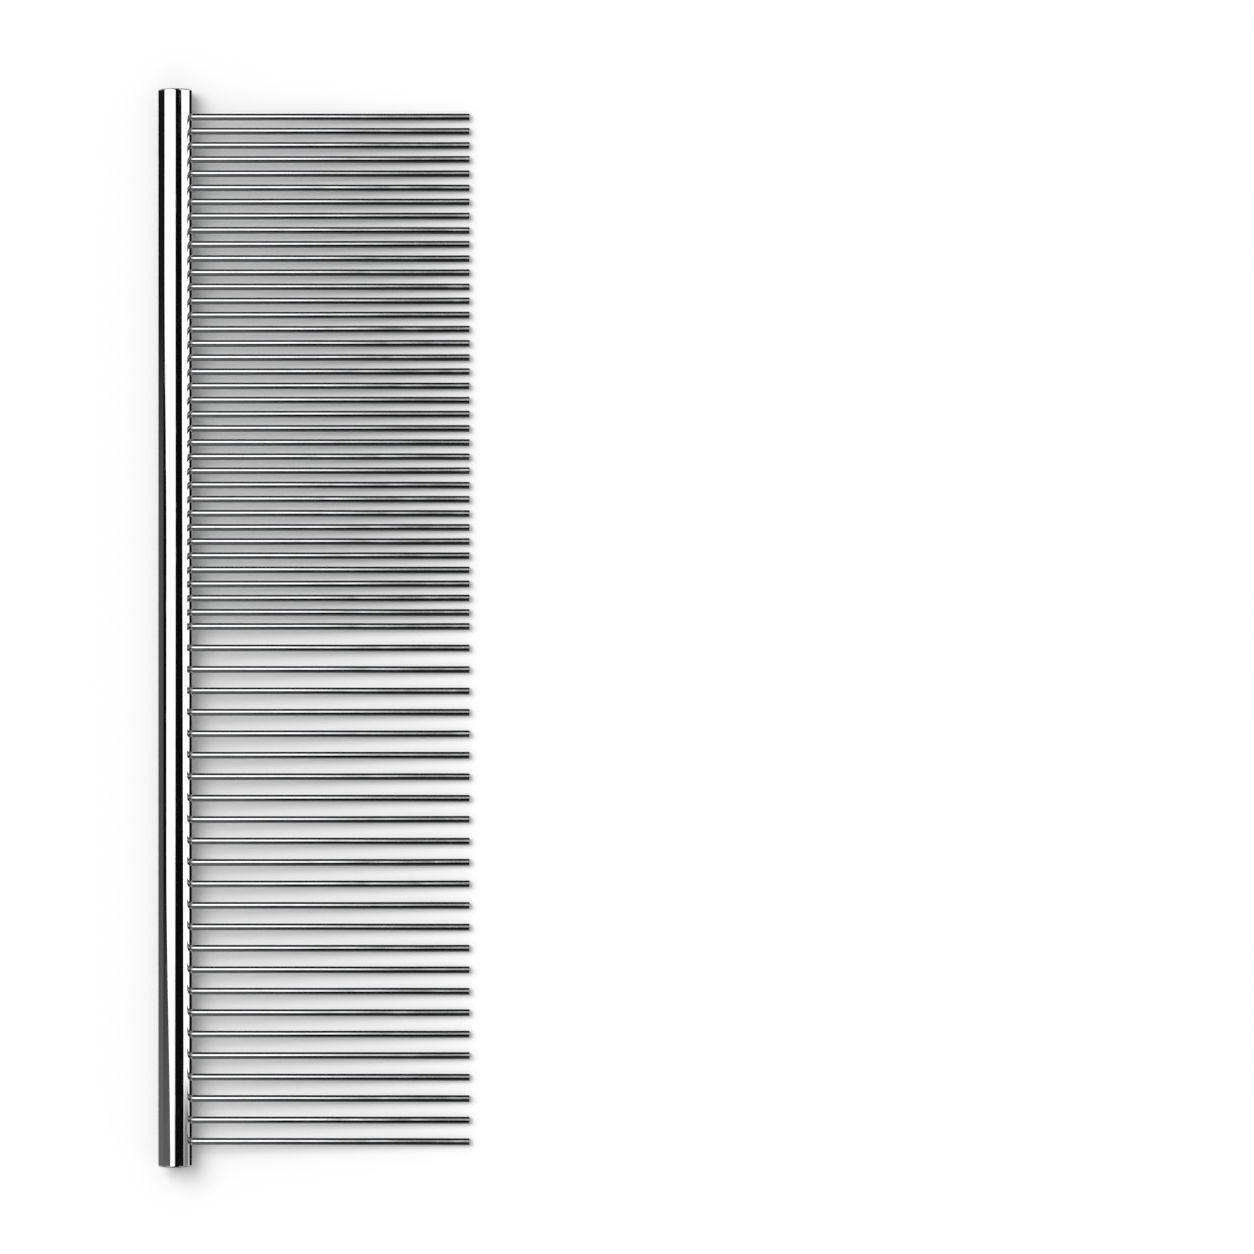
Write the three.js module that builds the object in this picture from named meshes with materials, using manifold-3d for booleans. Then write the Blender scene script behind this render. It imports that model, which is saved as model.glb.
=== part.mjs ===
// Steel grooming comb: a solid round spine rod with one row of straight wire pins pressed into
// blind holes along its side, close together towards one end and wider apart towards the other.
//
// Units are millimetres. The comb lies on the plane z = 0 as it would on a table: the spine runs
// along Y, the pins point towards +X and the fine end is at +Y. The spine is thicker than the
// pins, so the whole comb leans by a few degrees until the pin tips touch the table too.
import * as THREE from 'three';
import { mergeVertices, toCreasedNormals } from 'three/addons/utils/BufferGeometryUtils.js';
import Module from 'manifold-3d';

const wasm = await Module();
wasm.setup();

// Spine rod.
const SPINE_LENGTH = 190;
const SPINE_RADIUS = 2.95;
const SPINE_EDGE_ROUND = 0.25;
const SPINE_SIDES = 48;

// Pins. The reach is measured from the spine's side to the tip, the seat is what sits inside.
const PIN_RADIUS = 0.6;
const PIN_REACH = 49.1;
const PIN_SEAT = 4.2;
const PIN_TIP_ROUND = 0.18;
const PIN_SIDES = 12;

// Spacing along the spine, from its fine end. The step between the two groups is one coarse pitch.
const FINE_END_MARGIN = 4.85;
const FINE_COUNT = 37;
const FINE_PITCH = 2.497;
const COARSE_COUNT = 24;
const COARSE_PITCH = 3.786;

// Blind holes drilled for the pins, a little wider and deeper than what sits in them.
const HOLE_CLEARANCE = 0.1;
const HOLE_EXTRA_DEPTH = 0.3;
const DRILL_OVERSHOOT = 1;

// Bar that holds a joined pair of pins together at their seated ends, hidden in the spine.
const BAR_DEPTH = 1.2;
const BAR_THICKNESS = 0.7;

// Fineness of the mesh.
const ROUND_STEPS = 2;
const WELD_DISTANCE = 1e-4;
const CREASE_ANGLE = THREE.MathUtils.degToRad(30);

const PIN_START = SPINE_RADIUS - PIN_SEAT;
const PIN_TIP = SPINE_RADIUS + PIN_REACH;
const HOLE_BOTTOM = PIN_START - HOLE_EXTRA_DEPTH;

const spineSteel = new THREE.MeshStandardMaterial({ color: 0xd3d5d8, metalness: 1, roughness: 0.06 });
const pinSteel = new THREE.MeshStandardMaterial({ color: 0xc9cbce, metalness: 1, roughness: 0.1 });

// Distance along the spine of each pin of a group, from the fine end downwards.
function finePosition(index) {
  return SPINE_LENGTH / 2 - FINE_END_MARGIN - index * FINE_PITCH;
}

function coarsePosition(index) {
  return finePosition(FINE_COUNT - 1) - (index + 1) * COARSE_PITCH;
}

// Quarter-round corner of a turned profile, from the straight side to the flat end.
function roundedCorner(radius, endHeight, round) {
  const points = [];
  for (let step = 0; step <= ROUND_STEPS; step += 1) {
    const angle = (step / ROUND_STEPS) * (Math.PI / 2);
    const across = radius - round * (1 - Math.cos(angle));
    const along = endHeight - round * (1 - Math.sin(angle));
    points.push(new THREE.Vector2(across, along));
  }
  return points;
}

// One closed skin from a turned or boxed shape, with the points that coincide merged and the
// empty triangles on the turning axis removed.
function closedSkin(geometry) {
  const bare = geometry.clone();
  bare.deleteAttribute('normal');
  bare.deleteAttribute('uv');
  const skin = mergeVertices(bare, WELD_DISTANCE);
  const corners = Array.from(skin.index.array);
  const kept = [];
  for (let first = 0; first < corners.length; first += 3) {
    const triangle = corners.slice(first, first + 3);
    if (new Set(triangle).size === 3) {
      kept.push(...triangle);
    }
  }
  skin.setIndex(kept);
  return skin;
}

function toSolid(geometry) {
  const skin = closedSkin(geometry);
  return new wasm.Manifold(new wasm.Mesh({
    numProp: 3,
    vertProperties: new Float32Array(skin.getAttribute('position').array),
    triVerts: new Uint32Array(skin.index.array),
  }));
}

function toGeometry(solid) {
  const mesh = solid.getMesh();
  const geometry = new THREE.BufferGeometry();
  geometry.setAttribute('position', new THREE.BufferAttribute(mesh.vertProperties, 3));
  geometry.setIndex(new THREE.BufferAttribute(mesh.triVerts, 1));
  return toCreasedNormals(geometry, CREASE_ANGLE);
}

// A turned shape whose axis is laid along +X.
function turnedAlongX(profile, sides) {
  return new THREE.LatheGeometry(profile, sides).rotateZ(-Math.PI / 2);
}

// A rod along Y with both of its end edges rounded, before it is drilled.
function spineBlank() {
  const fineEnd = roundedCorner(SPINE_RADIUS, SPINE_LENGTH / 2, SPINE_EDGE_ROUND);
  const coarseEnd = fineEnd.map((point) => new THREE.Vector2(point.x, -point.y)).reverse();
  const profile = [
    new THREE.Vector2(0, -SPINE_LENGTH / 2),
    ...coarseEnd,
    ...fineEnd,
    new THREE.Vector2(0, SPINE_LENGTH / 2),
  ];
  return new THREE.LatheGeometry(profile, SPINE_SIDES);
}

// The drill's path for one pin, from beyond the spine's side to the bottom of the hole.
function drillPath(along) {
  const mouth = SPINE_RADIUS + DRILL_OVERSHOOT;
  const radius = PIN_RADIUS + HOLE_CLEARANCE;
  const profile = [
    new THREE.Vector2(0, HOLE_BOTTOM),
    new THREE.Vector2(radius, HOLE_BOTTOM),
    new THREE.Vector2(radius, mouth),
    new THREE.Vector2(0, mouth),
  ];
  return turnedAlongX(profile, PIN_SIDES).translate(0, along, 0);
}

// A box between two neighbouring pins near their seated ends: the bar of a joined pair, or with
// room around it the pocket that the bar sits in.
function boxBetween(upper, lower, low, high, thickness) {
  const box = new THREE.BoxGeometry(high - low, upper - lower, thickness);
  return box.translate((low + high) / 2, (upper + lower) / 2, 0);
}

function barOf(upper, lower) {
  return boxBetween(upper, lower, PIN_START, PIN_START + BAR_DEPTH, BAR_THICKNESS);
}

function pocketOf(upper, lower) {
  const high = PIN_START + BAR_DEPTH + HOLE_EXTRA_DEPTH;
  const thickness = BAR_THICKNESS + 2 * HOLE_CLEARANCE;
  return boxBetween(upper, lower, HOLE_BOTTOM, high, thickness);
}

function spineGeometry(pinPositions, joinedPairs) {
  const drills = pinPositions.map((along) => toSolid(drillPath(along)));
  const pockets = joinedPairs.map((pair) => toSolid(pocketOf(...pair)));
  const removed = [...drills, ...pockets].reduce((all, next) => all.add(next));
  return toGeometry(toSolid(spineBlank()).subtract(removed));
}

// One pin along +X: a straight wire, square at its seated end and with a rounded edge at its tip.
function pinShape() {
  const profile = [
    new THREE.Vector2(0, PIN_START),
    new THREE.Vector2(PIN_RADIUS, PIN_START),
    ...roundedCorner(PIN_RADIUS, PIN_TIP, PIN_TIP_ROUND),
    new THREE.Vector2(0, PIN_TIP),
  ];
  return turnedAlongX(profile, PIN_SIDES);
}

function namedMesh(name, geometry, material) {
  const mesh = new THREE.Mesh(geometry, material.clone());
  mesh.name = name;
  return mesh;
}

// Two neighbouring pins and their hidden bar as one piece, drawn around the upper pin's axis.
function joinedPins(name, upper, lower) {
  const second = toSolid(pinShape().translate(0, lower - upper, 0));
  const bar = toSolid(barOf(0, lower - upper));
  const geometry = toGeometry(toSolid(pinShape()).add(second).add(bar));
  const mesh = namedMesh(name, geometry, pinSteel);
  mesh.position.y = upper;
  return mesh;
}

function twoDigits(number) {
  return String(number).padStart(2, '0');
}

// A group's pins, numbered from the fine end. Those from joinedFirst and joinedFirst + 1 are one
// joined pair, the others single pins.
function pinRow(kind, count, position, joinedFirst) {
  const row = new THREE.Group();
  const single = toGeometry(toSolid(pinShape()));
  for (let index = 0; index < count; index += 1) {
    const label = twoDigits(index + 1);
    if (index === joinedFirst) {
      const name = `${kind}_pins_${label}_${twoDigits(index + 2)}`;
      row.add(joinedPins(name, position(index), position(index + 1)));
    } else if (index !== joinedFirst + 1) {
      const pin = namedMesh(`${kind}_pin_${label}`, single, pinSteel);
      pin.position.y = position(index);
      row.add(pin);
    }
  }
  return row;
}

// The lean at which the pin tips reach the table that the spine lies on.
function restingLean() {
  const tipCorner = PIN_TIP - PIN_TIP_ROUND;
  const reach = Math.hypot(tipCorner, PIN_RADIUS);
  return Math.asin(SPINE_RADIUS / reach) - Math.atan(PIN_RADIUS / tipCorner);
}

// The comb is drawn flat around the spine's axis, then leaned and set down on the table with the
// middle of its footprint over the origin.
function buildComb() {
  const fineJoined = 0;
  const coarseJoined = COARSE_COUNT - 2;
  const pinPositions = [
    ...Array.from({ length: FINE_COUNT }, (_, index) => finePosition(index)),
    ...Array.from({ length: COARSE_COUNT }, (_, index) => coarsePosition(index)),
  ];
  const joinedPairs = [
    [finePosition(fineJoined), finePosition(fineJoined + 1)],
    [coarsePosition(coarseJoined), coarsePosition(coarseJoined + 1)],
  ];

  const leaning = new THREE.Group();
  leaning.add(namedMesh('spine_rod', spineGeometry(pinPositions, joinedPairs), spineSteel));
  leaning.add(pinRow('fine', FINE_COUNT, finePosition, fineJoined));
  leaning.add(pinRow('coarse', COARSE_COUNT, coarsePosition, coarseJoined));
  leaning.rotation.y = restingLean();

  const comb = new THREE.Group();
  comb.add(leaning);
  const footprint = new THREE.Box3().setFromObject(comb, true);
  const middle = footprint.getCenter(new THREE.Vector3());
  leaning.position.set(-middle.x, -middle.y, -footprint.min.z);
  return comb;
}

export default buildComb();
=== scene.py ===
import math
import random

import bmesh
import bpy
from mathutils import Matrix, Vector


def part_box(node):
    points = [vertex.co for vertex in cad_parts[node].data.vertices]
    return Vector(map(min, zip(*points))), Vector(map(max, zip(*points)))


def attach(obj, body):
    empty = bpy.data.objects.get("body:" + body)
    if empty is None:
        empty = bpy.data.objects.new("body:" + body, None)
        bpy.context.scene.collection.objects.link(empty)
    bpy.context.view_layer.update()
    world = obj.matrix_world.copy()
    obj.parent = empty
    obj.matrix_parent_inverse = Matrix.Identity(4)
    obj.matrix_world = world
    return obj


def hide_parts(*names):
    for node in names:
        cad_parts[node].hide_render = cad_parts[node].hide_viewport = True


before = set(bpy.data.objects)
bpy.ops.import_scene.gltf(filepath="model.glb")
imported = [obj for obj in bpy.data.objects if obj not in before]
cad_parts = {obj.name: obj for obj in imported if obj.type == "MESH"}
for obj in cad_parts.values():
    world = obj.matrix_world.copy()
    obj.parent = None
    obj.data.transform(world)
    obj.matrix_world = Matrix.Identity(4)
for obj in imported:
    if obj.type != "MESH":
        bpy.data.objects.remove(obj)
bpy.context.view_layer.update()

# A steel grooming comb: a turned rod with blind holes and 61 wire pins, each a piece of its own.
# Lengths are in metres, like the frame.
MM = 0.001

# Sizes of the rod and the wire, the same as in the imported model.
SPINE_RADIUS = 2.95 * MM
SPINE_EDGE_ROUND = 0.25 * MM
PIN_RADIUS = 0.6 * MM
PIN_REACH = 49.1 * MM
PIN_SEAT = 4.2 * MM
PIN_TIP_ROUND = 0.18 * MM
HOLE_CLEARANCE = 0.1 * MM
HOLE_EXTRA_DEPTH = 0.3 * MM
DRILL_OVERSHOOT = 1 * MM

# Plated fillet around each pin where it leaves the spine, with its rim just under the surface.
FILLET_RADIUS = 0.16 * MM
FILLET_LIP = 0.015 * MM
UNDER_FILLET = SPINE_RADIUS - 0.35 * MM

# Real pins aren't perfectly straight.
BEND_SIDEWAYS = 0.05 * MM
BEND_UPWARDS = 0.05 * MM
RIPPLE = 0.012 * MM
BEND_SEED = 61

# Fineness of the meshes.
SPINE_SIDES = 144
SPINE_EDGE_STEPS = 8
DRILL_SIDES = 32
PIN_SIDES = 40
PIN_RINGS = 26
FILLET_STEPS = 9
TIP_STEPS = 6
CUT_BEYOND_LAST_PIN = 2 * MM
SLOPE_STEP = 0.1 * MM

# How a face of the drilled rod is told apart: faced ends by their normal, holes by their depth.
FACED_END_NORMAL = 0.9999
HOLE_REACH = SPINE_RADIUS - 0.05 * MM

SPINE_LOW, SPINE_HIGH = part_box("spine_rod")
SPINE_MIDDLE = (SPINE_LOW + SPINE_HIGH) / 2
HALF_LENGTH = (SPINE_HIGH.y - SPINE_LOW.y) / 2


def resting_lean():
    """The angle at which the pin tips touch the table that the spine lies on."""
    tip_corner = SPINE_RADIUS + PIN_REACH - PIN_TIP_ROUND
    reach = math.hypot(tip_corner, PIN_RADIUS)
    return math.asin(SPINE_RADIUS / reach) - math.atan(PIN_RADIUS / tip_corner)


LEAN = resting_lean()
# Comb coordinates: x out along the pins, y along the spine, z up from the comb's own plane.
COMB_TO_WORLD = Matrix.Translation(SPINE_MIDDLE) @ Matrix.Rotation(LEAN, 4, "Y")


# ---------------------------------------------------------------- pieces


def make_piece(name, points, faces, normals, replaced, material):
    """A closed mesh given in comb coordinates, with one normal for each corner of each face."""
    turn = COMB_TO_WORLD.to_3x3()
    mesh = bpy.data.meshes.new(name)
    mesh.from_pydata([COMB_TO_WORLD @ Vector(p) for p in points], [], faces)
    mesh.polygons.foreach_set("use_smooth", [True] * len(mesh.polygons))
    mesh.normals_split_custom_set([turn @ n for n in normals])
    mesh.materials.append(material)
    piece = bpy.data.objects.new(name, mesh)
    bpy.context.scene.collection.objects.link(piece)
    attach(piece, "root")
    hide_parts(replaced)
    return piece


def pin_places():
    """(visual name, CAD node, place along the spine) of every pin, from the fine end down."""
    places = []
    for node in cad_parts:
        if node == "spine_rod":
            continue
        low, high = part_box(node)
        numbers = node.split("_")[2:]
        kind = node.split("_")[0]
        along = [high.y - PIN_RADIUS, low.y + PIN_RADIUS][: len(numbers)]
        for number, y in zip(numbers, along):
            places.append((f"{kind}_pin_{number}_wire", node, y - SPINE_MIDDLE.y))
    return sorted(places, key=lambda place: -place[2])


def quarter_round(radius, end, round_radius, steps):
    """(distance along, radius, normal along, normal outwards) down a rounded edge to its flat end."""
    stations = []
    for step in range(steps + 1):
        angle = math.pi / 2 * step / steps
        stations.append((
            end - round_radius * (1 - math.sin(angle)),
            radius - round_radius * (1 - math.cos(angle)),
            math.sin(angle),
            math.cos(angle),
        ))
    return stations


def spine_blank(cuts):
    """The undrilled rod as a mesh in comb coordinates, with a ring at each cut along it."""
    end = quarter_round(SPINE_RADIUS, HALF_LENGTH, SPINE_EDGE_ROUND, SPINE_EDGE_STEPS)
    rings = [(-y, r) for y, r, _, _ in reversed(end)]
    rings += [(y, SPINE_RADIUS) for y in sorted(cuts)]
    rings += [(y, r) for y, r, _, _ in end]
    shape = bmesh.new()
    made = []
    for y, r in rings:
        made.append([
            shape.verts.new((
                r * math.sin(2 * math.pi * side / SPINE_SIDES),
                y,
                r * math.cos(2 * math.pi * side / SPINE_SIDES),
            ))
            for side in range(SPINE_SIDES)
        ])
    for lower, upper in zip(made, made[1:]):
        for side in range(SPINE_SIDES):
            after = (side + 1) % SPINE_SIDES
            shape.faces.new((lower[side], lower[after], upper[after], upper[side]))
    shape.faces.new(reversed(made[0]))
    shape.faces.new(made[-1])
    bmesh.ops.recalc_face_normals(shape, faces=shape.faces)
    return to_object("spine_blank", shape)


def drills(places):
    """The drill's path for every pin, as one mesh in comb coordinates."""
    bottom = SPINE_RADIUS - PIN_SEAT - HOLE_EXTRA_DEPTH
    depth = SPINE_RADIUS + DRILL_OVERSHOOT - bottom
    shape = bmesh.new()
    for y in places:
        bmesh.ops.create_cone(
            shape,
            cap_ends=True,
            segments=DRILL_SIDES,
            radius1=PIN_RADIUS + HOLE_CLEARANCE,
            radius2=PIN_RADIUS + HOLE_CLEARANCE,
            depth=depth,
            matrix=Matrix.Translation((bottom + depth / 2, y, 0)) @ Matrix.Rotation(math.pi / 2, 4, "Y"),
        )
    return to_object("drills", shape)


def to_object(name, shape):
    mesh = bpy.data.meshes.new(name)
    shape.to_mesh(mesh)
    shape.free()
    made = bpy.data.objects.new(name, mesh)
    bpy.context.scene.collection.objects.link(made)
    return made


def subtract(blank, cutter):
    """The mesh of blank with cutter taken away. Both objects are removed."""
    cut = blank.modifiers.new("cut", "BOOLEAN")
    cut.operation = "DIFFERENCE"
    cut.solver = "EXACT"
    cut.object = cutter
    evaluated = blank.evaluated_get(bpy.context.evaluated_depsgraph_get())
    mesh = bpy.data.meshes.new_from_object(evaluated)
    for used in (blank, cutter):
        bpy.data.objects.remove(used)
    return mesh


def is_in_hole(face):
    centre = face.center
    is_deep = math.hypot(centre.x, centre.z) < HOLE_REACH
    is_on_shaft = abs(centre.y) < HALF_LENGTH - SPINE_EDGE_ROUND
    return is_deep and is_on_shaft and abs(face.normal.y) < FACED_END_NORMAL


def spine_normal(point, face_normal, in_hole):
    """The turned rod's true normal at a point of its skin, and a flat one in the drilled holes."""
    across = Vector((point.x, 0, point.z))
    past = abs(point.y) - (HALF_LENGTH - SPINE_EDGE_ROUND)
    if in_hole or abs(face_normal.y) > FACED_END_NORMAL:
        return face_normal
    outwards = across.normalized()
    if past <= 0:
        return outwards
    beyond = across.length - (SPINE_RADIUS - SPINE_EDGE_ROUND)
    end = Vector((0, math.copysign(1, point.y), 0))
    return (outwards * max(beyond, 0) + end * past).normalized()


def build_spine(places, material):
    middles = [(a + b) / 2 for a, b in zip(places, places[1:])]
    ends = [places[0] + CUT_BEYOND_LAST_PIN, places[-1] - CUT_BEYOND_LAST_PIN]
    mesh = subtract(spine_blank(middles + ends), drills(places))
    points = [v.co.copy() for v in mesh.vertices]
    faces = [tuple(face.vertices) for face in mesh.polygons]
    normals = []
    for face in mesh.polygons:
        in_hole = is_in_hole(face)
        normals += [spine_normal(points[v], face.normal.copy(), in_hole) for v in face.vertices]
    return make_piece("spine_turned_rod", points, faces, normals, "spine_rod", material)


def fillet_stations():
    """(rise from the spine's surface, radius, normal along, normal outwards) from the rim up."""
    widest = PIN_RADIUS + FILLET_RADIUS
    stations = [(-FILLET_LIP, widest + FILLET_LIP, 1.0, 0.0)]
    for step in range(FILLET_STEPS + 1):
        angle = math.pi / 2 * step / FILLET_STEPS
        stations.append((
            FILLET_RADIUS * (1 - math.cos(angle)),
            widest - FILLET_RADIUS * math.sin(angle),
            math.cos(angle),
            math.sin(angle),
        ))
    return stations


def on_spine(radius, side):
    """How far out the spine's surface is, and its slope, at one side of a ring about a pin."""
    across = radius * math.sin(side)
    out = math.sqrt(SPINE_RADIUS ** 2 - across ** 2)
    return out, across / out


def pin_bend(rng):
    """A slight bend: how far off its straight line a pin is, at a distance along it."""
    sideways = rng.uniform(-BEND_SIDEWAYS, BEND_SIDEWAYS)
    upwards = rng.uniform(0, BEND_UPWARDS)
    phase = rng.uniform(0, 2 * math.pi)
    turns = rng.uniform(1.0, 2.4)

    def offset(along):
        share = max(0.0, (along - SPINE_RADIUS) / PIN_REACH)
        ripple = RIPPLE * share * math.sin(phase + 2 * math.pi * turns * share)
        return Vector((0, sideways * share ** 2 + ripple, upwards * share ** 2 + abs(ripple)))

    return offset


def around(side):
    """The angle of one side of a ring, and the way out from the pin's axis there."""
    angle = 2 * math.pi * side / PIN_SIDES
    return angle, Vector((0, math.cos(angle), math.sin(angle)))


def straight_ring(along, radius, normal_along, normal_out):
    """(point, normal) for each side of a flat ring about the pin's axis."""
    ring = []
    for side in range(PIN_SIDES):
        _, out = around(side)
        ring.append((Vector((along, 0, 0)) + out * radius, Vector((normal_along, 0, 0)) + out * normal_out))
    return ring


def fillet_ring(rise, radius, normal_along, normal_out):
    """(point, normal) for each side of a ring that follows the round side of the spine."""
    ring = []
    for side in range(PIN_SIDES):
        angle, out = around(side)
        base, slope = on_spine(radius, angle)
        normal = Vector((1, 0, slope)) * normal_along + out * normal_out
        ring.append((Vector((base + rise, 0, 0)) + out * radius, normal.normalized()))
    return ring


def straight_pin():
    """The rings of a straight pin about the x axis, from its seated end to its tip."""
    tip = SPINE_RADIUS + PIN_REACH
    shaft_start = SPINE_RADIUS + FILLET_RADIUS
    shaft_length = tip - PIN_TIP_ROUND - shaft_start
    rings = [straight_ring(along, PIN_RADIUS, 0, 1) for along in (SPINE_RADIUS - PIN_SEAT, UNDER_FILLET)]
    rings += [fillet_ring(*station) for station in fillet_stations()]
    for step in range(1, PIN_RINGS):
        rings.append(straight_ring(shaft_start + shaft_length * step / PIN_RINGS, PIN_RADIUS, 0, 1))
    rings += [straight_ring(*s) for s in quarter_round(PIN_RADIUS, tip, PIN_TIP_ROUND, TIP_STEPS)]
    return rings


def bent(rings, offset, y):
    """The rings moved to their place along the spine and bent, with their normals."""
    moved = []
    for ring in rings:
        new = []
        for point, normal in ring:
            shift = offset(point.x) + Vector((0, y, 0))
            slope = (offset(point.x + SLOPE_STEP) - offset(point.x - SLOPE_STEP)) / (2 * SLOPE_STEP)
            leaned = normal - Vector((slope.dot(normal), 0, 0))
            new.append((point + shift, leaned.normalized()))
        moved.append(new)
    return moved


def closed_skin(rings):
    """Points, faces and corner normals of a skin over the rings, closed by a fan at either end."""
    points = [point for ring in rings for point, _ in ring]
    faces, normals = [], []
    for level, (lower, upper) in enumerate(zip(rings, rings[1:])):
        for side in range(PIN_SIDES):
            after = (side + 1) % PIN_SIDES
            first, second = level * PIN_SIDES + side, level * PIN_SIDES + after
            faces.append((first, second, second + PIN_SIDES, first + PIN_SIDES))
            normals += [lower[side][1], lower[after][1], upper[after][1], upper[side][1]]
    seat_centre, tip_centre = len(points), len(points) + 1
    for ring in (rings[0], rings[-1]):
        points.append(sum((point for point, _ in ring), Vector()) / PIN_SIDES)
    last = (len(rings) - 1) * PIN_SIDES
    for side in range(PIN_SIDES):
        after = (side + 1) % PIN_SIDES
        faces.append((side, seat_centre, after))
        normals += [Vector((-1, 0, 0))] * 3
        faces.append((last + side, last + after, tip_centre))
        normals += [Vector((1, 0, 0))] * 3
    return points, faces, normals


def build_pin(name, node, y, material, rings, rng):
    points, faces, normals = closed_skin(bent(rings, pin_bend(rng), y))
    return make_piece(name, points, faces, normals, node, material)


# ---------------------------------------------------------------- node arithmetic


class Field:
    """A number that varies over a node tree and takes part in ordinary arithmetic."""

    def __init__(self, tree, socket):
        self.tree = tree
        self.socket = socket

    def math(self, operation, *others):
        node = self.tree.nodes.new("ShaderNodeMath")
        node.operation = operation
        for entry, value in zip(node.inputs, (self, *others)):
            self.feed(entry, value)
        return Field(self.tree, node.outputs[0])

    def feed(self, entry, value):
        if isinstance(value, Field):
            self.tree.links.new(value.socket, entry)
        else:
            entry.default_value = value

    def __add__(self, other):
        return self.math("ADD", other)

    def __sub__(self, other):
        return self.math("SUBTRACT", other)

    def __mul__(self, other):
        return self.math("MULTIPLY", other)

    def least(self, other):
        return self.math("MINIMUM", other)

    def most(self, other):
        return self.math("MAXIMUM", other)

    def size(self):
        return self.math("ABSOLUTE")

    def step(self, start, end):
        """0 before start and 1 after end, smooth between. start may be the larger one."""
        node = self.tree.nodes.new("ShaderNodeMapRange")
        node.interpolation_type = "SMOOTHSTEP"
        low, high, first, last = (start, end, 0.0, 1.0) if start < end else (end, start, 1.0, 0.0)
        for entry, value in zip(node.inputs, (self, low, high, first, last)):
            self.feed(entry, value)
        return Field(self.tree, node.outputs[0])

    def toward(self, other, share):
        """self where share is 0, other where it is 1."""
        return self + (self * -1 + other) * share


def axes_of(tree, vector):
    node = tree.nodes.new("ShaderNodeSeparateXYZ")
    tree.links.new(vector, node.inputs[0])
    return [Field(tree, output) for output in node.outputs]


# ---------------------------------------------------------------- materials


def noise(tree, vector, scale, detail=2.0, roughness=0.5):
    node = tree.nodes.new("ShaderNodeTexNoise")
    tree.links.new(vector, node.inputs["Vector"])
    node.inputs["Scale"].default_value = scale
    node.inputs["Detail"].default_value = detail
    node.inputs["Roughness"].default_value = roughness
    return Field(tree, node.outputs["Fac"])


def stretched(tree, vector, scale, turn=(0, 0, 0)):
    node = tree.nodes.new("ShaderNodeMapping")
    tree.links.new(vector, node.inputs["Vector"])
    node.inputs["Rotation"].default_value = turn
    node.inputs["Scale"].default_value = scale
    return node.outputs["Vector"]


def comb_millimetres(tree):
    """Comb coordinates of the shaded point, in millimetres, from its object coordinates."""
    place = tree.nodes.new("ShaderNodeTexCoord").outputs["Object"]
    moved = tree.nodes.new("ShaderNodeVectorMath")
    moved.operation = "SUBTRACT"
    tree.links.new(place, moved.inputs[0])
    moved.inputs[1].default_value = SPINE_MIDDLE
    return stretched(tree, moved.outputs[0], (1 / MM, 1 / MM, 1 / MM), (0, -LEAN, 0))


def bumped(tree, height, depth, below=None):
    node = tree.nodes.new("ShaderNodeBump")
    node.inputs["Distance"].default_value = depth
    tree.links.new(height.socket, node.inputs["Height"])
    if below is not None:
        tree.links.new(below, node.inputs["Normal"])
    return node.outputs["Normal"]


def grey(tree, base, level):
    """A colour: base times a varying level."""
    node = tree.nodes.new("ShaderNodeVectorMath")
    node.operation = "SCALE"
    node.inputs[0].default_value = base
    tree.links.new(level.socket, node.inputs["Scale"])
    return node.outputs[0]


def new_steel(name):
    material = bpy.data.materials.new(name)
    material.use_nodes = True
    shader = material.node_tree.nodes["Principled BSDF"]
    shader.inputs["Metallic"].default_value = 1
    return material, material.node_tree, shader


def hairlines(tree, place, turn, along, across, rarity):
    """Sparse straight scratches: 1 in a scratch, 0 elsewhere."""
    streaks = noise(tree, stretched(tree, place, (across, along, across), turn), 1.0, 1.0)
    return streaks.step(rarity, rarity + 0.05)


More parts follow.
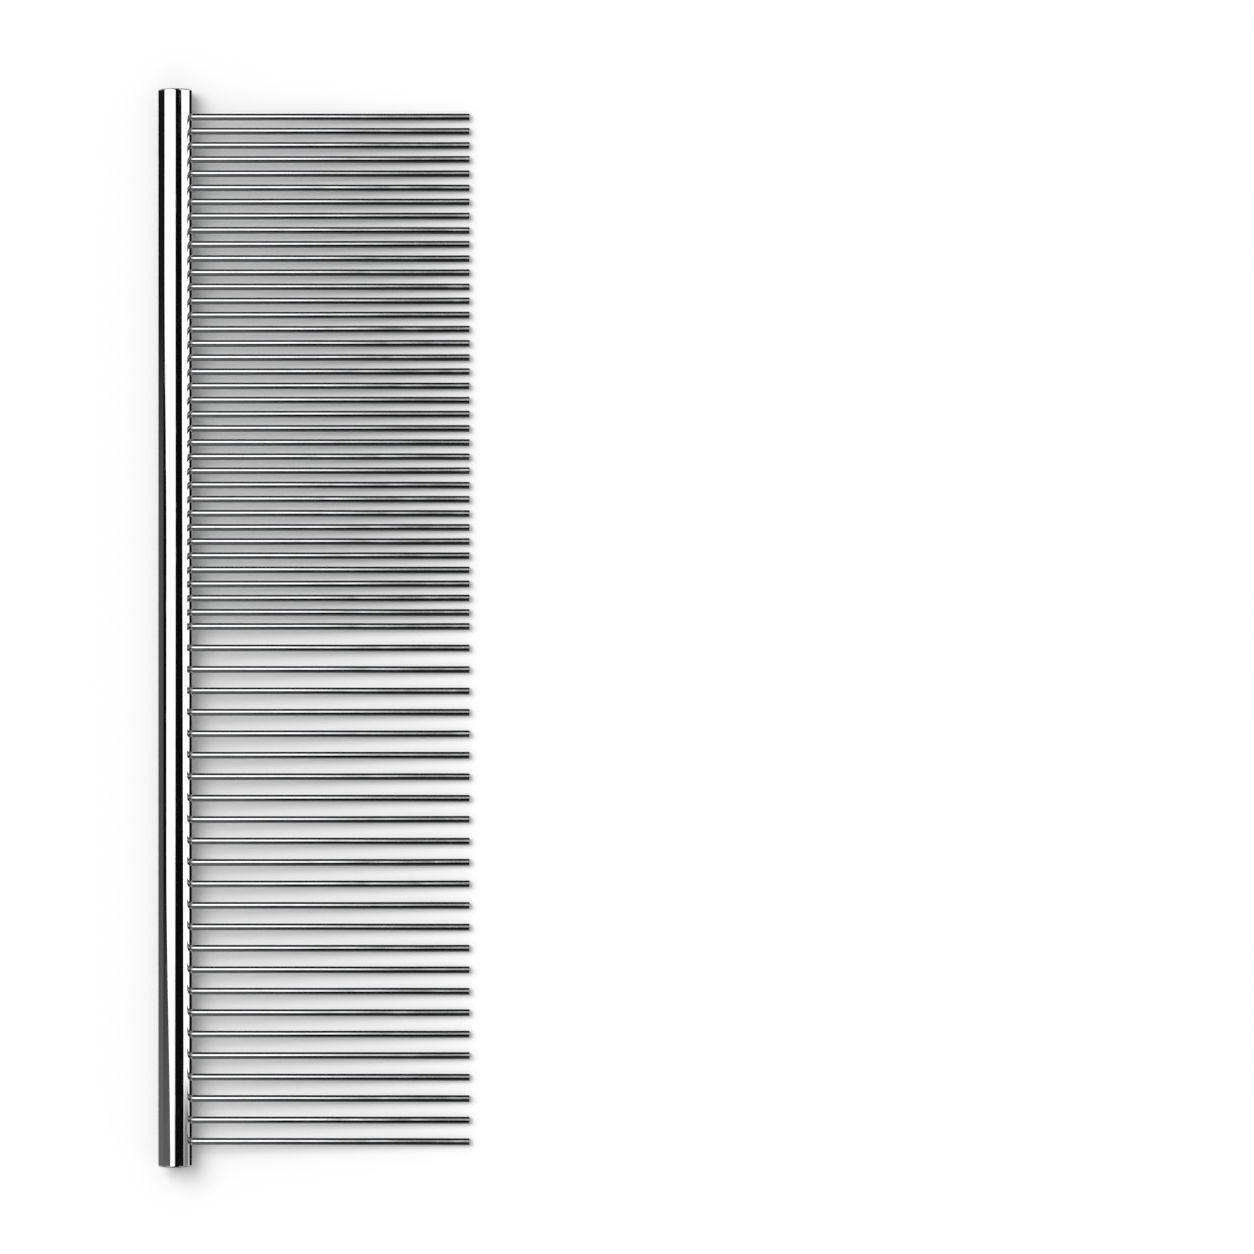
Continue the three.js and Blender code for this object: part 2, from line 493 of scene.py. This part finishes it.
def spine_steel():
    """Mirror-polished rod with faint lengthwise polishing lines, faced ends, and painted shade in the
    drilled holes.
    """
    material, tree, shader = new_steel("spine_mirror_steel")
    place = comb_millimetres(tree)
    x, y, z = axes_of(tree, place)
    outwards = (x * x + z * z).math("SQRT")
    on_end = y.size().step(HALF_LENGTH / MM - 0.06, HALF_LENGTH / MM - 0.01)
    # in_hole marks the drilled holes: rougher, as drilled steel is, and its colour is darkened as painted
    # shade.
    in_hole = outwards.step(SPINE_RADIUS / MM - 0.03, SPINE_RADIUS / MM - 0.08) * (on_end * -1 + 1)
    on_edge = y.size().step(HALF_LENGTH / MM - 0.5, HALF_LENGTH / MM - 0.2) * (on_end * -1 + 1)

    polish = noise(tree, stretched(tree, place, (6, 0.05, 6)), 1.0, 3.0)
    smudge = noise(tree, place, 0.11, 4.0, 0.62)
    marks = hairlines(tree, place, (0, 0, 0.25), 0.12, 7, 0.70)
    marks = marks.most(hairlines(tree, place, (0.2, 0, -0.5), 0.2, 9, 0.71))
    facing = (outwards * 55).math("SINE") * 0.5 + 0.5

    rough = smudge.step(0.46, 0.78) * 0.05 + 0.022
    rough = rough + polish * 0.012 + marks * 0.05 + on_edge * 0.03
    rough = rough.toward(facing * 0.05 + 0.16, on_end).toward(0.4, in_hole)
    tree.links.new(rough.socket, shader.inputs["Roughness"])

    level = smudge * -0.03 + 1.0 - marks * 0.03 + on_edge * 0.02
    # Inside the drilled holes the colour is darkened as painted shade.
    level = level.toward(facing * 0.08 + 0.84, on_end).toward(0.35, in_hole)
    tree.links.new(grey(tree, (0.85, 0.855, 0.865), level), shader.inputs["Base Color"])

    waves = noise(tree, stretched(tree, place, (0.3, 0.035, 0.3)), 1.0, 1.0)
    normal = bumped(tree, waves, 0.008 * MM)
    normal = bumped(tree, polish, 0.0004 * MM, normal)
    normal = bumped(tree, marks * -1.0, 0.0006 * MM, normal)
    normal = bumped(tree, facing * on_end, 0.004 * MM, normal)
    tree.links.new(normal, shader.inputs["Normal"])
    return material


def pin_steel():
    """Polished wire: drawing lines along each pin, slight ripples, worn tips, and painted shade at the
    root.
    """
    material, tree, shader = new_steel("pin_polished_wire")
    place = comb_millimetres(tree)
    x, _, _ = axes_of(tree, place)
    tip = (SPINE_RADIUS + PIN_REACH) / MM
    at_tip = x.step(tip - 5, tip)
    # at_root marks the wire next to the spine: rougher there, and its colour is darkened as painted shade.
    at_root = x.step(SPINE_RADIUS / MM + 1.2, SPINE_RADIUS / MM)
    on_face = x.step(tip - 0.06, tip - 0.01)

    drawn = noise(tree, stretched(tree, place, (0.12, 14, 14)), 1.0, 3.0)
    smudge = noise(tree, place, 0.23, 4.0, 0.6)
    marks = hairlines(tree, place, (0, 0, math.pi / 2 - 0.2), 0.25, 9, 0.70)

    rough = smudge.step(0.44, 0.76) * 0.05 + 0.03
    rough = rough + drawn * 0.02 + marks * 0.06 + at_tip * 0.015 + at_root * 0.03 + on_face * 0.15
    tree.links.new(rough.socket, shader.inputs["Roughness"])

    # Near the root the colour is darkened as painted shade where the wire meets the spine.
    level = smudge * -0.05 + 1.0 - marks * 0.04 - at_root * 0.05 + at_tip * 0.02
    tree.links.new(grey(tree, (0.83, 0.835, 0.85), level), shader.inputs["Base Color"])

    ripples = noise(tree, stretched(tree, place, (0.16, 0.8, 0.8)), 1.0, 2.0)
    normal = bumped(tree, ripples, 0.006 * MM)
    normal = bumped(tree, drawn, 0.0002 * MM, normal)
    normal = bumped(tree, marks * -1.0, 0.0005 * MM, normal)
    tree.links.new(normal, shader.inputs["Normal"])
    return material


def floor_paper():
    """Matt white paper with faint fibres."""
    material = bpy.data.materials.new("floor_paper")
    material.use_nodes = True
    tree = material.node_tree
    shader = tree.nodes["Principled BSDF"]
    place = tree.nodes.new("ShaderNodeTexCoord").outputs["Object"]
    fibre = noise(tree, place, PAPER_FIBRE_SCALE, 3.0)
    tree.links.new(grey(tree, (0.95, 0.95, 0.95), fibre * 0.01 + 0.995), shader.inputs["Base Color"])
    shader.inputs["Roughness"].default_value = 0.9
    shader.inputs["Specular IOR Level"].default_value = 0.0
    return material


# ---------------------------------------------------------------- studio

# The picture's width on the comb's own plane, and the comb's place in it as shares of that width.
PHOTO_WIDTH = 221.3 * MM
CAMERA_DISTANCE = 1100 * MM
SENSOR = 36.0
COMB_LEFT_OF_MIDDLE = 0.2494
COMB_BELOW_MIDDLE = 0.0008

# Brightness of what the steel mirrors, and the shares of it that are left in light which two
# pieces have mirrored, and in light which the steel throws onto the floor.
WHITE = 1.4
BLACK = 0.004
SECOND_MIRROR = 0.3
BOUNCE = 0.9

# Brightness of the backdrop, and of the light that falls on the floor from all round.
BACKGROUND = 1.0
FILL = 0.6

# A broad lamp that casts the comb's soft shadow.
KEY = 1.76
KEY_SPREAD = math.radians(45)
KEY_DIRECTION = Vector((0.42, -0.38, -0.82))

# The spine mirrors what lies near the plane across it, and a pin what lies near the plane across
# the pin. Each pair is where one of those views fades in, as a direction's share along the piece.
SPINE_VIEW_FADE = (0.13, 0.09)
PIN_VIEW_FADE = (0.32, 0.14)

# How much darker the softbox's slit and the dull stretch of the strip light are than the rest.
SLIT_DARKENING = 0.74
DULL_DARKENING = 0.84

# How many degrees the softbox's left edge moves over towards each end of the spine.
EDGE_SHIFT_TO_COARSE = 30
EDGE_SHIFT_TO_FINE = 15

# Brightness of the grey walls and gaps that the steel mirrors beside the softbox.
SPINE_WALL = 0.085
SPINE_WALL_ADDED_TO_COARSE = 0.06
SPINE_WALL_LOST_TO_FINE = 0.93
SPINE_GAP = 0.12
PIN_WALL = 0.15
PIN_WALL_LOST_TO_RIGHT = 0.08
PIN_GAP = 0.13
PIN_FAR_ENDS = 0.65

# Brightness of the tent, from its foot to its top, in its bright part and on its black flags.
TENT_FOOT = 0.5
TENT_RISE = 0.3
TENT_BRIGHT = 1.1
TENT_FLAG = 0.03

FLOOR_RADIUS = 6.0
FLOOR_SIDES = 128
PAPER_FIBRE_SCALE = 900


def degrees_over(sideways, up):
    """How far a direction leans over from straight up, to either side."""
    return sideways.math("ARCTAN2", up) * (180 / math.pi)


def overhead_softbox(x, y):
    """A big soft light overhead and to the left, seen from the comb."""
    right_edge = x - (y * 0.9).least(0.0)
    lit = right_edge.step(0.135, 0.09) * y.step(-0.17, -0.10) * y.step(0.80, 0.74)
    slit = x.step(-0.060, -0.032) * x.step(-0.010, -0.020)
    return lit * (slit * -SLIT_DARKENING + 1)


def spine_view(x, y, z, softbox):
    """What the spine mirrors, all of it within a narrow band about y = 0."""
    over = degrees_over(x, z)
    to_coarse = y.step(-0.036, -0.088)
    to_fine = y.step(0.015, 0.055)
    left_edge = over - to_coarse * EDGE_SHIFT_TO_COARSE + to_fine * EDGE_SHIFT_TO_FINE
    lit = softbox * left_edge.step(-59.5, -56.5)
    strip = (over + y * 105).step(56.5, 58.5) * over.step(119, 117)
    dull = y.step(-0.068, -0.08) * over.step(67, 70) * over.step(114, 111)
    strip = strip * (dull * -DULL_DARKENING + 1)
    wall_level = to_coarse * SPINE_WALL_ADDED_TO_COARSE + SPINE_WALL
    grey_wall = over.step(-83, -88) * (to_fine * -SPINE_WALL_LOST_TO_FINE + 1) * wall_level
    grey_gap = to_coarse * SPINE_GAP * over.step(-12, -32)
    return (lit + strip) * WHITE + grey_wall.most(grey_gap) + BLACK


def pin_view(x, y, z, softbox):
    """What the pins mirror, all of it within a narrow band about x = 0."""
    over = degrees_over(y, z)
    above = (y - (x * 9 + 0.55).most(0.0)).step(-0.17, -0.10)
    grey_wall = over.step(-74, -79) * (x.step(-0.06, -0.03) * -PIN_WALL_LOST_TO_RIGHT + PIN_WALL)
    grey_gap = over.step(-14, -20) * x.step(-0.054, -0.067) * PIN_GAP
    far_ends = y.size().step(0.9945, 0.9965) * x.step(-0.03, 0.0) * PIN_FAR_ENDS
    lit = softbox * above * z.step(0.0, 0.1)
    return lit * WHITE + grey_wall.most(grey_gap).most(far_ends) + BLACK


def tent(x, y, z):
    """What the comb mirrors towards every other way of looking at it."""
    pale = z.step(-0.3, 0.6) * TENT_RISE + TENT_FOOT
    bright = x.step(0.1, -0.4) * y.step(-0.1, 0.4) * z.step(0.15, 0.4)
    flag_beyond_pins = x.step(0.12, 0.18) * x.step(0.5, 0.42) * z.step(0.02, 0.12)
    flag_at_coarse_end = y.step(-0.12, -0.18) * y.step(-0.5, -0.42) * z.step(0.02, 0.12)
    horizon = z.step(-0.14, -0.08) * z.step(0.16, 0.08)
    dark = flag_beyond_pins.most(flag_at_coarse_end).most(horizon)
    return pale.toward(TENT_BRIGHT, bright).toward(TENT_FLAG, dark)


def studio_world():
    """A pale tent with a softbox, a strip light and black flags, seen only in the steel.

    Everything else, the floor included, gets an even light from all round.
    """
    world = bpy.data.worlds.new("studio")
    bpy.context.scene.world = world
    world.use_nodes = True
    tree = world.node_tree
    tree.nodes.clear()
    seen = tree.nodes.new("ShaderNodeTexCoord").outputs["Generated"]
    x, y, z = axes_of(tree, stretched(tree, seen, (1, 1, 1), (0, -LEAN, 0)))
    softbox = overhead_softbox(x, y)
    mirrored = tent(x, y, z)
    mirrored = mirrored.toward(pin_view(x, y, z, softbox), x.size().step(*PIN_VIEW_FADE))
    mirrored = mirrored.toward(spine_view(x, y, z, softbox), y.size().step(*SPINE_VIEW_FADE))

    path = tree.nodes.new("ShaderNodeLightPath")
    is_glossy = Field(tree, path.outputs["Is Glossy Ray"])
    is_camera = Field(tree, path.outputs["Is Camera Ray"])
    scattered = Field(tree, path.outputs["Diffuse Depth"]).step(0.2, 0.8)
    mirrored_twice = Field(tree, path.outputs["Glossy Depth"]).step(1.2, 1.8)
    mirrored = mirrored * (scattered * (BOUNCE - 1) + 1) * (mirrored_twice * (SECOND_MIRROR - 1) + 1)
    strength = (is_camera * (BACKGROUND - FILL) + FILL).toward(mirrored, is_glossy)
    light = tree.nodes.new("ShaderNodeBackground")
    light.inputs["Color"].default_value = (1, 1, 1, 1)
    tree.links.new(strength.socket, light.inputs["Strength"])
    output = tree.nodes.new("ShaderNodeOutputWorld")
    tree.links.new(light.outputs[0], output.inputs["Surface"])


def key_light():
    """The lamp that casts the soft shadow. The steel doesn't mirror it."""
    light = bpy.data.lights.new("key", "SUN")
    light.energy = KEY
    light.angle = KEY_SPREAD
    lamp = bpy.data.objects.new("key", light)
    lamp.rotation_euler = KEY_DIRECTION.to_track_quat("-Z", "Y").to_euler()
    lamp.visible_glossy = False
    bpy.context.scene.collection.objects.link(lamp)


def floor():
    """A round sheet of white paper, which the steel doesn't mirror."""
    shape = bmesh.new()
    bmesh.ops.create_circle(shape, cap_ends=True, segments=FLOOR_SIDES, radius=FLOOR_RADIUS)
    plane = to_object("floor", shape)
    plane.data.materials.append(floor_paper())
    plane.visible_glossy = False


def camera():
    """Square on to the comb's own plane, with the comb where the photo has it."""
    lens = bpy.data.cameras.new("camera")
    lens.sensor_width = SENSOR
    lens.lens = SENSOR / 2 * CAMERA_DISTANCE / (PHOTO_WIDTH / 2)
    lens.clip_start = 0.01
    lens.clip_end = 100
    shot = bpy.data.objects.new("camera", lens)
    aim = Vector((PIN_REACH / 2 + COMB_LEFT_OF_MIDDLE * PHOTO_WIDTH, COMB_BELOW_MIDDLE * PHOTO_WIDTH, 0))
    shot.matrix_world = COMB_TO_WORLD @ Matrix.Translation(aim + Vector((0, 0, CAMERA_DISTANCE)))
    bpy.context.scene.collection.objects.link(shot)
    bpy.context.scene.camera = shot


def build():
    places = pin_places()
    wire = pin_steel()
    build_spine([y for _, _, y in places], spine_steel())
    rings = straight_pin()
    rng = random.Random(BEND_SEED)
    for name, node, y in places:
        build_pin(name, node, y, wire, rings, rng)
    floor()
    studio_world()
    key_light()
    camera()
    bpy.context.scene.view_settings.view_transform = "Standard"


build()
